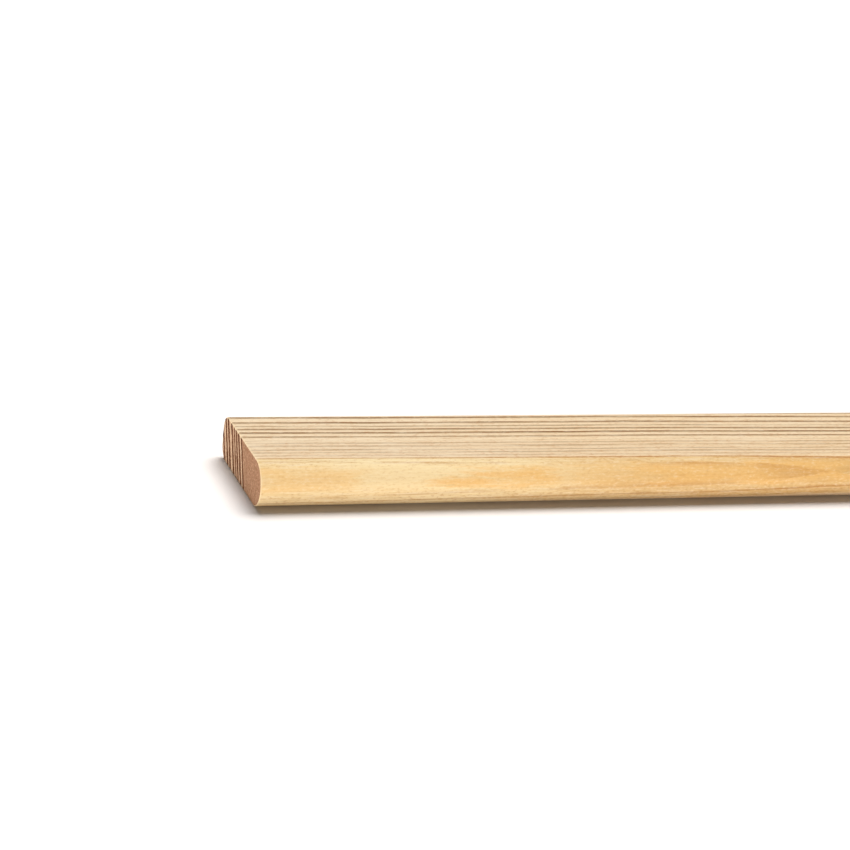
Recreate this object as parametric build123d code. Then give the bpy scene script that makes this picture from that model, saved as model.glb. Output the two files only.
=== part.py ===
from build123d import *
import os

# A planed wood edge strip, cut square from longer stock, lying on its flat underside.
# Millimetres. X runs along the strip and the grain, +Y to the squarer back edge, +Z up.
# The origin is the middle of the underside, so the round front edge faces -Y.

# Stock sizes
strip_length = 1000.0
strip_width = 30.0
strip_thickness = 9.0

# Long edges: the front is a full half round, the two back corners are only softened
back_edge_radius = 3.0

# Sawn ends: the sharp corner all round each cut is taken off with one stroke of sandpaper
end_ease = 0.2

# The least share of the back edge that stays flat, on each side of its middle
least_flat_share = 0.05


def section_outline():
    """The closed cross-section, drawn in the YZ plane with its underside on Y."""
    front = -strip_width / 2
    back = strip_width / 2
    nose_radius = strip_thickness / 2
    corner_radius = min(back_edge_radius, strip_thickness * (0.5 - least_flat_share))
    with BuildSketch(Plane.YZ) as section:
        with BuildLine():
            underside = Line((front + nose_radius, 0), (back, 0))
            back_face = Line(underside @ 1, (back, strip_thickness))
            top = Line(back_face @ 1, (front + nose_radius, strip_thickness))
            ThreePointArc(top @ 1, (front, nose_radius), underside @ 0)
        make_face()
        corners = section.vertices().group_by(Axis.X)[-1]
        fillet(corners, corner_radius)
    return section.sketch


def strip():
    """The section run along X for the whole length, with both sawn ends eased."""
    blank = extrude(section_outline(), amount=strip_length / 2, both=True)
    sawn_ends = blank.faces().filter_by(Axis.X)
    return chamfer(sawn_ends.edges(), end_ease)


os.makedirs("parts", exist_ok=True)
edge_strip = strip()
edge_strip.label = "edge_strip"
export_step(edge_strip, "parts/edge_strip.step")
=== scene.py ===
import math

import bpy
import bmesh
import numpy as np
from mathutils import Matrix, Vector


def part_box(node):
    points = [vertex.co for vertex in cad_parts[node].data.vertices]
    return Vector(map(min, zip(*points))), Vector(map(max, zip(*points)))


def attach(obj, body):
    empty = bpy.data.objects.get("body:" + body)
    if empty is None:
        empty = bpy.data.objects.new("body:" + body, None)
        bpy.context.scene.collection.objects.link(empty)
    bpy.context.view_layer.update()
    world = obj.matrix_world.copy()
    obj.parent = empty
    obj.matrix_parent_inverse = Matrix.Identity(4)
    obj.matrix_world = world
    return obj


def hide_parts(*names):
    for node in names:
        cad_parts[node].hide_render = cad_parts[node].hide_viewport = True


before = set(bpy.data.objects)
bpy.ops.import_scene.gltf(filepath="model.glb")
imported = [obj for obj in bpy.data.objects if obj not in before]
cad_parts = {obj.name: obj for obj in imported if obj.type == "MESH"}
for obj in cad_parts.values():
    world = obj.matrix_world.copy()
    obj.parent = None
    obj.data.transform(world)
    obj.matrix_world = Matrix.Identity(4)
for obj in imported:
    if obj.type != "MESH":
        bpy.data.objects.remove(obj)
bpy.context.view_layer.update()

# The strip lies along X on its underside, half-round edge to -Y. Lengths are in metres
# unless they are said to be in mm. Growth rings are sheets that run the whole length of
# the strip. Where a point lies across them is its ring place. The mesh carries what follows
# from it, so the top, the nose, the back and both sawn ends all show the same rings.

MM = 0.001

# Section, read from the frame, apart from the back corners and the ends' eased corner
LOW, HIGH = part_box("edge_strip")
LENGTH, WIDTH, THICKNESS = (high - low for low, high in zip(LOW, HIGH))
NOSE_RADIUS = THICKNESS / 2
BACK_RADIUS = 3.0 * MM
END_EASE = 0.2 * MM

# Mesh spacing: round the section, along the body, towards each end, over each sawn face, at
# which shares of the eased corner, and how near to each other two points are one
SECTION_STEP = 0.24 * MM
BODY_STATIONS = 190
END_ZONE = 12 * MM
END_STATIONS = 12
CAP_LOOPS = 13
EASE_SHARES = (0.15, 0.5)
SAME_POINT = 1e-7

# Growth rings: where each dark line crosses the top face at the left end, in mm from the
# middle of the width and positive towards the back, with how dark the line is
RINGS = (
    (-17.0, 0.05), (-15.6, 0.05), (-14.2, 0.06), (-12.8, 0.08), (-10.95, 0.52), (-9.6, 1.00),
    (-8.0, 0.25), (-6.4, 0.52), (-5.1, 0.55), (-3.0, 0.45), (-1.45, 0.50), (-0.2, 0.12),
    (1.9, 0.94), (4.15, 1.00), (6.1, 0.85), (7.7, 0.56), (9.7, 1.00), (12.5, 0.95),
    (14.6, 0.80), (17.15, 1.00), (18.9, 0.60), (20.4, 0.95), (22.5, 0.80), (24.2, 1.00),
    (26.0, 0.70), (27.8, 0.90),
)

# The first and the last share of a ring grow no wider than in a ring of this width. A wider
# ring has more pale wood between the two.
FULL_RING_MM = 1.9
FIRST_SHARE = 0.30
LAST_SHARE = 0.66

# The wood stands up at each dark line, over this share of a ring on both sides of it
RIDGE_SHARE = 0.3

# The sheets lean back by this much for each step up. Towards the middle of the length they
# bow to the front, less so near the back edge, and they waver a little: a wave has its
# length and height in mm, and the turn in radians at which it starts.
RING_LEAN = 0.50
GRAIN_BOW_MM = 5.3
BOW_TAPER = 0.09
WAVES_MM = ((170, 0.20, 0.9), (74, 0.07, 2.1), (38, 0.04, 4.0), (19, 0.02, 5.2))

# How far the wood between the dark lines has sunk below them, and how rough the fibres are
RELIEF = 0.045 * MM
END_RELIEF = 0.06 * MM
FIBRE_RELIEF = 0.008 * MM
FIBRE_SEED = 7

# Ring places, in mm, over which the planed faces change towards the heart side: the lines
# turn thin and reddish, low ones turn faint, pale wood turns honey, and the lines break up.
# The pale wood is a little duller from the first pair of DULL_WOOD to the second.
THIN_LINES = (-7.5, -9.6)
FAINT_LINES = (-6.5, -8.5)
HONEY_WOOD = (-9.1, -10.1)
BROKEN_LINES = (-9.8, -10.6)
DULL_WOOD = ((-0.5, -2.0), (-9.8, -8.8))

# Patches of stronger colour on the nose near the left end: middle and half length in mm
# from that end, with how strong they are. Their edges are soft over PATCH_EDGE_MM on both
# sides, and noise shifts them. From NOISY_PATCHES_MM on, noise places the patches too.
PATCHES = ((9, 9.5, 0.45), (47, 9.5, 0.90), (69, 9.5, 0.35), (101, 20.5, 0.80))
PATCH_EDGE_MM = 4.5
PATCH_SHIFT_MM = 34.0
NOISY_PATCHES_MM = (125, 145)

# Stage: the floor's half size and its warm grey, and how strongly the world lights
FLOOR_HALF = 30.0
FLOOR_GREY = (0.64, 0.61, 0.59, 1.0)
WORLD_LEVEL = 0.15

# Camera, fitted to the photograph's sawn end and long edges, with its angles in degrees
PICTURE_PX = 850
FOCAL_PX = 2420
SENSOR_MM = 36.0
CAMERA_PLACE = (-0.61517, -0.41604, 0.16775)
CAMERA_TURN, CAMERA_DOWN, CAMERA_ROLL = 19.99, 19.42, 6.42


def srgb(text, opacity=1.0):
    """A colour written as in a paint program, such as F0D8B0, as Blender's linear numbers."""
    parts = [int(text[i:i + 2], 16) / 255 for i in (0, 2, 4)]
    linear = [c / 12.92 if c <= 0.04045 else ((c + 0.055) / 1.055) ** 2.4 for c in parts]
    return (*linear, opacity)


# The strip's shape


def arc(radius):
    """A quarter turn as (across, up), from its side to its top, without its first point."""
    points = round(radius * math.pi / 2 / SECTION_STEP)
    turn = np.linspace(0, math.pi / 2, points + 1)[1:]
    return radius * np.cos(turn), radius * np.sin(turn)


def line(start, stop):
    """Evenly spaced numbers from start to stop, without the first."""
    return np.linspace(start, stop, round(abs(stop - start) / SECTION_STEP) + 1)[1:]


def outline():
    """The section once round as (y, z), from the nose's tip over the top and the back."""
    back, middle, top = WIDTH / 2, THICKNESS / 2, THICKNESS
    flat_start, flat_end = NOSE_RADIUS - back, back - BACK_RADIUS
    nose_y, nose_z = arc(NOSE_RADIUS)
    corner_y, corner_z = arc(BACK_RADIUS)
    flat = line(flat_start, flat_end)
    down = line(top - BACK_RADIUS, middle)

    # The back corner is the same quarter turn run down, from the top to the back edge. The
    # lower half of the section mirrors the upper one.
    y = [[-back], flat_start - nose_y, flat, flat_end + corner_y[-2::-1], [back], 0 * down + back]
    z = [[middle], middle + nose_z, 0 * flat + top, top - BACK_RADIUS + corner_z[-2::-1],
         [top - BACK_RADIUS], down]
    upper = np.stack([np.concatenate(y), np.concatenate(z)], 1)
    lower = upper[-2:0:-1] * (1, -1) + (0, THICKNESS)
    return np.concatenate([upper, lower])


def outward(loop):
    """The unit normal at each point of a loop, in the section's plane."""
    along = np.roll(loop, -1, 0) - np.roll(loop, 1, 0)
    normal = np.stack([-along[:, 1], along[:, 0]], 1)
    return normal / np.linalg.norm(normal, axis=1, keepdims=True)


def stations():
    """Places along the strip for its loops, closer together near both ends."""
    half = LENGTH / 2 - END_EASE
    near = END_ZONE * (np.arange(END_STATIONS) / END_STATIONS) ** 2
    middle = np.linspace(-half + END_ZONE, half - END_ZONE, BODY_STATIONS)
    return np.concatenate([-half + near, middle, (half - near)[::-1]])


def strip_rows(loop, normal):
    """Every loop of the tube as (x, section, share of the push that is along x, is sawn)."""
    core = np.stack([np.clip(loop[:, 0], NOSE_RADIUS - WIDTH / 2, WIDTH / 2 - NOSE_RADIUS),
                     np.full(len(loop), THICKNESS / 2)], 1)
    rim = loop - normal * END_EASE
    left = [(-LENGTH / 2, core + (rim - core) * share, 1.0, 1.0)
            for share in np.linspace(0, 1, CAP_LOOPS + 1)]
    for share in EASE_SHARES:
        eased = rim + normal * END_EASE * share
        left.append((-LENGTH / 2 + END_EASE * share, eased, 1 - share, 0.0))
    body = [(x, loop, 0.0, 0.0) for x in stations()]
    right = [(-x, section, -push, sawn) for x, section, push, sawn in left[::-1]]
    return left + body + right


def ring_place(x, y, z):
    """How far across the growth rings each point lies, in mm."""
    place = (y - RING_LEAN * (z - THICKNESS)) / MM
    place = place + (GRAIN_BOW_MM - BOW_TAPER * y / MM) * np.sin(math.pi * (x / LENGTH + 0.5))
    for length_mm, height_mm, start in WAVES_MM:
        turn = 2 * math.pi * x / MM / length_mm + start
        place = place + height_mm * np.sin(turn + y / MM * 3 / length_mm)
    return place


def ring_number(place):
    """Counts the rings: a whole number on each dark line and fractions between them."""
    spots = np.array([spot for spot, _ in RINGS])
    count = np.arange(len(RINGS) - 1)
    width = np.minimum(np.diff(spots), FULL_RING_MM)
    starts, ends = spots[:-1] + FIRST_SHARE * width, spots[1:] - LAST_SHARE * width
    knots = np.stack([spots[:-1], starts, ends], 1).ravel()
    numbers = (count[:, None] + (0.0, FIRST_SHARE, 1 - LAST_SHARE)).ravel()
    return np.interp(place, np.append(knots, spots[-1]), np.append(numbers, len(count)))


def ring_strength(place):
    """How dark the rings are around each place."""
    return np.interp(place, *zip(*RINGS))


def dark_line(place):
    """1 on the darkest growth lines and 0 between the lines, as the relief needs it."""
    number = ring_number(place)
    away = np.abs(number - np.rint(number))
    closeness = np.clip(1 - away / RIDGE_SHARE, 0, 1)
    return ring_strength(place) * closeness * closeness * (3 - 2 * closeness)


def strip_mesh():
    """Closed mesh of the strip: one tube of loops that closes over both sawn ends."""
    loop = outline()
    normal = outward(loop)
    rows = strip_rows(loop, normal)
    points = np.stack([np.insert(section, 0, x, 1) for x, section, _, _ in rows])
    along = np.array([push for _, _, push, _ in rows])[:, None]
    sawn = np.array([is_sawn for _, _, _, is_sawn in rows])[:, None] + 0 * points[..., 0]

    # relief: every point is pushed inwards, along X on the sawn faces and along the normal elsewhere
    place = ring_place(*np.moveaxis(points, -1, 0))
    sunk = np.where(sawn > 0.5, END_RELIEF, RELIEF) * (1 - dark_line(place))
    sunk += FIBRE_RELIEF * np.random.default_rng(FIBRE_SEED).random(sunk.shape)
    points[..., 0] += sunk * along
    points[..., 1:] -= normal * (sunk * (1 - np.abs(along)))[..., None]
    points[..., 1] += (LOW[1] + HIGH[1]) / 2

    count = np.arange(points[..., 0].size).reshape(sawn.shape)
    near, far = count[:-1], count[1:]
    faces = np.stack([near, np.roll(near, -1, 1), np.roll(far, -1, 1), far], -1)
    mesh = bpy.data.meshes.new("edge_strip_wood")
    mesh.from_pydata(points.reshape(-1, 3).tolist(), [], faces.reshape(-1, 4).tolist())

    # flat_sawn is 1 where the surface runs along the rings, as on the nose, and 0 where it
    # cuts them squarely
    across = np.array((1.0, -RING_LEAN)) / math.hypot(1.0, RING_LEAN)
    fields = {
        "ring_place": place,
        "ring_number": ring_number(place),
        "ring_strength": ring_strength(place),
        "sawn_end": sawn,
        "flat_sawn": np.abs(normal @ across) + 0 * sawn,
        "from_end": (LENGTH / 2 - np.abs(points[..., 0])) / MM,
    }
    for name, values in fields.items():
        field = mesh.attributes.new(name, "FLOAT", "POINT")
        field.data.foreach_set("value", values.astype(np.float32).ravel())
    close_ends(mesh, np.concatenate([count[0], count[-1]]))
    return mesh


def close_ends(mesh, seam):
    """Joins the points where each sawn face folds shut along its middle."""
    work = bmesh.new()
    work.from_mesh(mesh)
    work.verts.ensure_lookup_table()
    verts = [work.verts[i] for i in seam.tolist()]
    for vert in verts:
        vert.co.x = math.copysign(LENGTH / 2 - END_RELIEF / 2, vert.co.x)
    bmesh.ops.remove_doubles(work, verts=verts, dist=SAME_POINT)
    bmesh.ops.recalc_face_normals(work, faces=work.faces)
    for face in work.faces:
        face.smooth = True
    work.to_mesh(mesh)
    work.free()


# Materials


class Nodes:
    """Adds nodes to a material or world in short calls. A number, colour or socket feeds any input."""

    def __init__(self, owner):
        owner.use_nodes = True
        self.tree = owner.node_tree
        self.tree.nodes.clear()

    def feed(self, socket, value):
        if isinstance(value, bpy.types.NodeSocket):
            self.tree.links.new(value, socket)
        elif value is not None:
            socket.default_value = value

    def node(self, kind, inputs=(), **settings):
        made = self.tree.nodes.new(kind)
        for name, value in settings.items():
            setattr(made, name, value)
        for name, value in dict(inputs).items():
            self.feed(made.inputs[name], value)
        return made

    def math(self, operation, a, b=None, c=None):
        made = self.node("ShaderNodeMath", operation=operation)
        for socket, value in zip(made.inputs, (a, b, c)):
            self.feed(socket, value)
        return made.outputs[0]

    def product(self, *values):
        result = values[0]
        for value in values[1:]:
            result = self.math("MULTIPLY", result, value)
        return result

    def ramp(self, value, start, stop, low=0.0, high=1.0):
        """A smooth change from low to high as value goes from start to stop."""
        inputs = {"Value": value, "From Min": start, "From Max": stop, "To Min": low, "To Max": high}
        return self.node("ShaderNodeMapRange", inputs, interpolation_type="SMOOTHSTEP").outputs["Result"]

    def mix(self, share, a, b):
        """Colour a with a share of colour b. Its colours are inputs 6 and 7 and output 2."""
        made = self.node("ShaderNodeMix", data_type="RGBA")
        for index, value in ((0, share), (6, a), (7, b)):
            self.feed(made.inputs[index], value)
        return made.outputs[2]

    def tint(self, face, colour, texture, start, stop, most, share=1.0):
        """Face with a colour laid over it: none where texture is at start, and most of it at stop."""
        strength = self.product(self.ramp(texture, start, stop, 0.0, most), share)
        return self.mix(strength, face, srgb(colour))

    def object_place(self):
        return self.node("ShaderNodeTexCoord").outputs["Object"]

    def axis(self, name):
        """How far along the strip's X, Y or Z the point lies."""
        return self.node("ShaderNodeSeparateXYZ", {"Vector": self.object_place()}).outputs[name]

    def noise_at(self, place, detail, roughness):
        inputs = {"Vector": place, "Scale": 1.0, "Detail": detail, "Roughness": roughness}
        return self.node("ShaderNodeTexNoise", inputs).outputs[0]

    def noise(self, size_mm, detail=2.0, roughness=0.5):
        """Noise whose lumps have a size along, across and up the strip."""
        scale = tuple(1 / (size * MM) for size in size_mm)
        stretched = self.node("ShaderNodeMapping", {"Vector": self.object_place(), "Scale": scale})
        return self.noise_at(stretched.outputs[0], detail, roughness)

    def field(self, name):
        return self.node("ShaderNodeAttribute", attribute_name=name).outputs["Fac"]


def patches(net):
    """1 in the patches of stronger colour that the flat-sawn nose and back show."""
    ragged = net.math("SUBTRACT", net.noise((14, 2.2, 2.2), 4.0, 0.6), 0.5)
    from_left = net.math("MULTIPLY_ADD", net.axis("X"), 1 / MM, LENGTH / 2 / MM)
    from_left = net.math("MULTIPLY_ADD", ragged, PATCH_SHIFT_MM, from_left)
    by_noise = net.ramp(net.noise((15, 4, 4), 1.0), 0.45, 0.62)
    total = net.product(by_noise, net.ramp(from_left, *NOISY_PATCHES_MM))
    for middle_mm, half_mm, strength in PATCHES:
        away = net.math("ABSOLUTE", net.math("SUBTRACT", from_left, middle_mm))
        patch = net.ramp(away, half_mm + PATCH_EDGE_MM, half_mm - PATCH_EDGE_MM, 0.0, strength)
        total = net.math("MAXIMUM", total, patch)
    flat = net.math("MULTIPLY_ADD", ragged, 0.45, net.field("flat_sawn"))
    return net.product(total, net.ramp(flat, 0.80, 0.97))


def early_wood(net):
    """Colour of the pale wood between the dark lines."""
    place = net.field("ring_place")

    # stronger away from the ends, and in long soft clouds
    inland = net.product(net.ramp(net.field("from_end"), 15, 110), 0.6)
    clouds = net.ramp(net.noise((60, 9, 9), 1.0), 0.35, 0.65)
    warm = net.math("MULTIPLY_ADD", clouds, 0.4, inland)
    pale = net.mix(warm, srgb("FAE3C0"), srgb("F7D9AE"))
    honey = net.mix(warm, srgb("FCE4B2"), srgb("E2B472"))

    dull = net.product(*(net.ramp(place, *places) for places in DULL_WOOD))
    pale = net.mix(net.product(dull, 0.10), pale, srgb("B5824A"))

    # the honey colour, which reaches 2 mm further from the heart low on the strip
    low_down = net.ramp(net.axis("Z"), 5 * MM, 1 * MM, 0.0, 2.0)
    is_honey = net.ramp(net.math("SUBTRACT", place, low_down), *HONEY_WOOD)
    base = net.mix(is_honey, pale, honey)
    return net.mix(net.product(patches(net), 0.9), base, srgb("F4C074"))


def late_wood(net, number, strength, is_thin):
    """How dark the planed faces are: 0 between the growth lines and up to 1 on them."""
    phase = net.math("FRACT", number)
    place = net.field("ring_place")

    # across a ring: a slow rise, a sharp end, and less of it where the face runs along the rings
    starts = net.math("MULTIPLY_ADD", is_thin, 0.26, 0.34)
    stops = net.math("MULTIPLY_ADD", is_thin, 0.12, 0.78)
    soft = net.ramp(net.field("flat_sawn"), 0.80, 1.0, 0.88, 0.55)
    late = net.product(net.ramp(phase, starts, stops), net.ramp(phase, 1.0, 0.94), strength, soft)

    # along a ring: strong lines last, weak ones fade here and there, and the heart side's break up
    steady = net.ramp(strength, 0.50, 0.85, 0.35, 0.85)
    patchy = net.ramp(net.noise((16, 1.6, 2.5)), 0.38, 0.58, steady, 1.06)
    broken = net.ramp(net.noise((14, 3, 3)), 0.38, 0.60, 0.1, 1.0)
    change = net.math("SUBTRACT", broken, patchy)
    lasting = net.math("MULTIPLY_ADD", change, net.ramp(place, *BROKEN_LINES), patchy)
    late = net.product(late, lasting)

    # low on the strip, the heart side's lines are fainter
    faint = net.product(net.ramp(net.axis("Z"), 6 * MM, 3 * MM), net.ramp(place, *FAINT_LINES))
    return net.product(late, net.math("MULTIPLY_ADD", faint, -0.35, 1.0))


def planed_colour(net, number, strength):
    """Colour of the planed faces: pale wood with dark lines, thin and reddish at the heart side."""
    is_thin = net.ramp(net.field("ring_place"), *THIN_LINES)
    line_colour = net.mix(is_thin, srgb("7C5020"), srgb("AE6820"))
    return net.mix(late_wood(net, number, strength, is_thin), early_wood(net), line_colour)


def fibres(net, face, fibre):
    """Adds fine fibres, lighter and darker than the wood, and small specks. Flat-sawn wood has fewer."""
    flat = net.field("flat_sawn")
    calm = net.ramp(flat, 0.75, 0.95, 1.0, 0.35)
    face = net.tint(face, "B98C5A", fibre, 0.52, 0.74, 0.26, calm)
    face = net.tint(face, "FFF0D6", fibre, 0.48, 0.28, 0.30, calm)
    face = net.tint(face, "A67C4E", net.noise((2.2, 0.07, 0.07), 1.0), 0.60, 0.80, 0.14)
    thread = net.noise((7, 0.7, 0.5), 3.0, 0.65)
    face = net.tint(face, "B5824A", thread, 0.52, 0.75, 0.30, calm)
    face = net.tint(face, "FFF0D6", thread, 0.48, 0.25, 0.35, calm)
    speck = net.noise((0.9, 0.40, 0.40), 2.0, 0.6)
    face = net.tint(face, "FFEBC8", speck, 0.47, 0.30, 0.25)
    return net.tint(face, "C07C38", speck, 0.53, 0.70, 0.32, net.ramp(flat, 0.75, 0.95, 1.0, 0.5))


def sawn_colour(net, number, strength):
    """Colour of the sawn ends: mid brown, with a dark band and a thin light one at each ring."""
    phase = net.math("FRACT", number)
    place = net.field("ring_place")
    lively = net.product(net.ramp(strength, 0.20, 0.80), net.ramp(place, -4.0, 1.5))
    dark = net.product(net.ramp(phase, 0.36, 0.66), net.ramp(phase, 1.0, 0.95), lively)
    light = net.product(net.ramp(phase, 0.0, 0.05), net.ramp(phase, 0.48, 0.20), lively)

    # fine streaks along the rings, blotches, and specks of torn fibre that catch the light or not
    sheet = {"X": net.math("MULTIPLY", place, 2.0), "Y": net.math("MULTIPLY", net.axis("Z"), 0.8 / MM)}
    streak = net.noise_at(net.node("ShaderNodeCombineXYZ", sheet).outputs[0], 3.0, 0.6)
    speck = net.noise((1, 0.45, 0.40), 2.0, 0.6)
    sawn = net.mix(net.ramp(streak, 0.35, 0.65), srgb("C4987A"), srgb("A07655"))
    sawn = net.tint(sawn, "B08163", net.noise((4, 3.5, 2.2), 2.0), 0.40, 0.62, 0.5)
    sawn = net.tint(sawn, "EEC29C", speck, 0.54, 0.70, 0.55)
    sawn = net.tint(sawn, "7A4A2E", speck, 0.46, 0.30, 0.55)

    # both bands come and go a little
    fade = net.noise((2, 0.9, 2.4), 2.0)
    light = net.product(light, net.ramp(speck, 0.3, 0.5, 0.55, 1.0), net.ramp(fade, 0.36, 0.56, 0.45, 1.0))
    dark = net.product(dark, net.ramp(speck, 0.7, 0.4, 0.75, 1.0), net.ramp(fade, 0.66, 0.46, 0.66, 1.0))
    return net.mix(dark, net.mix(light, sawn, srgb("FFDEB8")), srgb("521F03"))


def wood():
    """The one material of the strip. The mesh tells it which faces are sawn."""
    material = bpy.data.materials.new("planed_softwood")
    net = Nodes(material)

    # the rings, with the small unevenness of their lines
    ragged = net.math("SUBTRACT", net.noise((7, 1.0, 1.0), 3.0, 0.6), 0.5)
    number = net.math("MULTIPLY_ADD", ragged, 0.24, net.field("ring_number"))
    strength = net.field("ring_strength")

    # the planed faces, with a painted highlight that makes the eased corner at each end paler, and the
    # sawn faces
    fibre = net.noise((9, 0.18, 0.18), 2.0, 0.6)
    face = fibres(net, planed_colour(net, number, strength), fibre)
    face = net.tint(face, "F8DEB4", net.field("from_end"), 0.45, 0.15, 0.45)
    is_sawn = net.ramp(net.field("sawn_end"), 0.4, 0.6)
    bump = net.node("ShaderNodeBump", {"Height": fibre, "Strength": 0.4, "Distance": 0.06 * MM})
    shader = net.node("ShaderNodeBsdfPrincipled", {
        "Base Color": net.mix(is_sawn, face, sawn_colour(net, number, strength)),
        "Roughness": net.math("MULTIPLY_ADD", is_sawn, 0.35, 0.6),
        "Specular IOR Level": 0.05,
        "Normal": bump.outputs[0],
    })
    net.node("ShaderNodeOutputMaterial", {"Surface": shader.outputs[0]})
    return material


def floor_material():
    """Matt, and pale grey by itself: its own lamp makes it white."""
    material = bpy.data.materials.new("pale_floor")
    net = Nodes(material)
    plain = net.node("ShaderNodeBsdfDiffuse", {"Color": FLOOR_GREY})
    net.node("ShaderNodeOutputMaterial", {"Surface": plain.outputs[0]})
    return material


# Pieces and stage


def make_strip():
    strip = bpy.data.objects.new("edge_strip_wood", strip_mesh())
    bpy.context.scene.collection.objects.link(strip)
    strip.data.materials.append(wood())
    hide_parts("edge_strip")
    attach(strip, "root")
    return strip


def make_floor():
    mesh = bpy.data.meshes.new("floor")
    corners = [(FLOOR_HALF * x, FLOOR_HALF * y, 0) for x, y in ((-1, -1), (1, -1), (1, 1), (-1, 1))]
    mesh.from_pydata(corners, [], [(0, 1, 2, 3)])
    floor = bpy.data.objects.new("floor", mesh)
    floor.data.materials.append(floor_material())
    bpy.context.scene.collection.objects.link(floor)
    return floor


def make_sun(name, strength, spread, direction, target, all_cast_shadows=False):
    """A soft far lamp that shines from direction on target alone, with its spread in degrees. The
    shadows come from the target too, or from every object."""
    data = bpy.data.lights.new(name, "SUN")
    data.energy = strength
    data.angle = math.radians(spread)
    lamp = bpy.data.objects.new(name, data)
    lamp.rotation_mode = "QUATERNION"
    lamp.rotation_quaternion = Vector(direction).to_track_quat("Z", "Y")
    bpy.context.scene.collection.objects.link(lamp)
    alone = bpy.data.collections.new("lit_by_" + name)
    alone.objects.link(target)
    lamp.light_linking.receiver_collection = alone
    if not all_cast_shadows:
        lamp.light_linking.blocker_collection = alone


def make_world():
    """A plain glow that lights softly, and looks white itself and in what mirrors it."""
    world = bpy.data.worlds.new("studio")
    bpy.context.scene.world = world
    net = Nodes(world)
    paths = net.node("ShaderNodeLightPath").outputs
    is_seen = net.math("MAXIMUM", paths["Is Camera Ray"], paths["Is Glossy Ray"])
    is_seen = net.math("MAXIMUM", is_seen, paths["Is Transmission Ray"])
    strength = net.math("MULTIPLY_ADD", is_seen, 1.0 - WORLD_LEVEL, WORLD_LEVEL)
    glow = net.node("ShaderNodeBackground", {"Color": (1, 1, 1, 1), "Strength": strength})
    net.node("ShaderNodeOutputWorld", {"Surface": glow.outputs[0]})


def make_camera():
    """The photograph's view: down on the left end from the front, with the camera turned a little."""
    data = bpy.data.cameras.new("camera")
    data.sensor_width = SENSOR_MM
    data.lens = FOCAL_PX / PICTURE_PX * SENSOR_MM
    data.clip_start, data.clip_end = 0.01, 100
    camera = bpy.data.objects.new("camera", data)
    turn, down, roll = (math.radians(a) for a in (CAMERA_TURN, CAMERA_DOWN, CAMERA_ROLL))
    look = Matrix.Rotation(-turn, 3, "Z") @ Matrix.Rotation(math.pi / 2 - down, 3, "X")
    look = look @ Matrix.Rotation(roll, 3, "Z")
    camera.rotation_mode = "QUATERNION"
    camera.rotation_quaternion = look.to_quaternion()
    camera.location = CAMERA_PLACE
    bpy.context.scene.collection.objects.link(camera)
    bpy.context.scene.camera = camera


strip = make_strip()
floor = make_floor()
make_world()

# Each lamp is kept to the strip or to the floor. The strip is lit evenly from the top and the
# front, and from low in front, which the floor doesn't stop. The floor's own lamp makes it
# white, and leaves the strip's shadow dark under the round edge.
make_sun("top", 1.05, 36, (0.10, 0.46, 1.0), strip)
make_sun("front", 2.16, 60, (-0.53, -0.60, 1.0), strip)
make_sun("low", 0.70, 60, (-0.40, -0.74, -0.54), strip)
make_sun("floor", 5.65, 42, (0.28, 0.34, 1.0), floor, all_cast_shadows=True)
make_camera()
bpy.context.scene.view_settings.view_transform = "Standard"
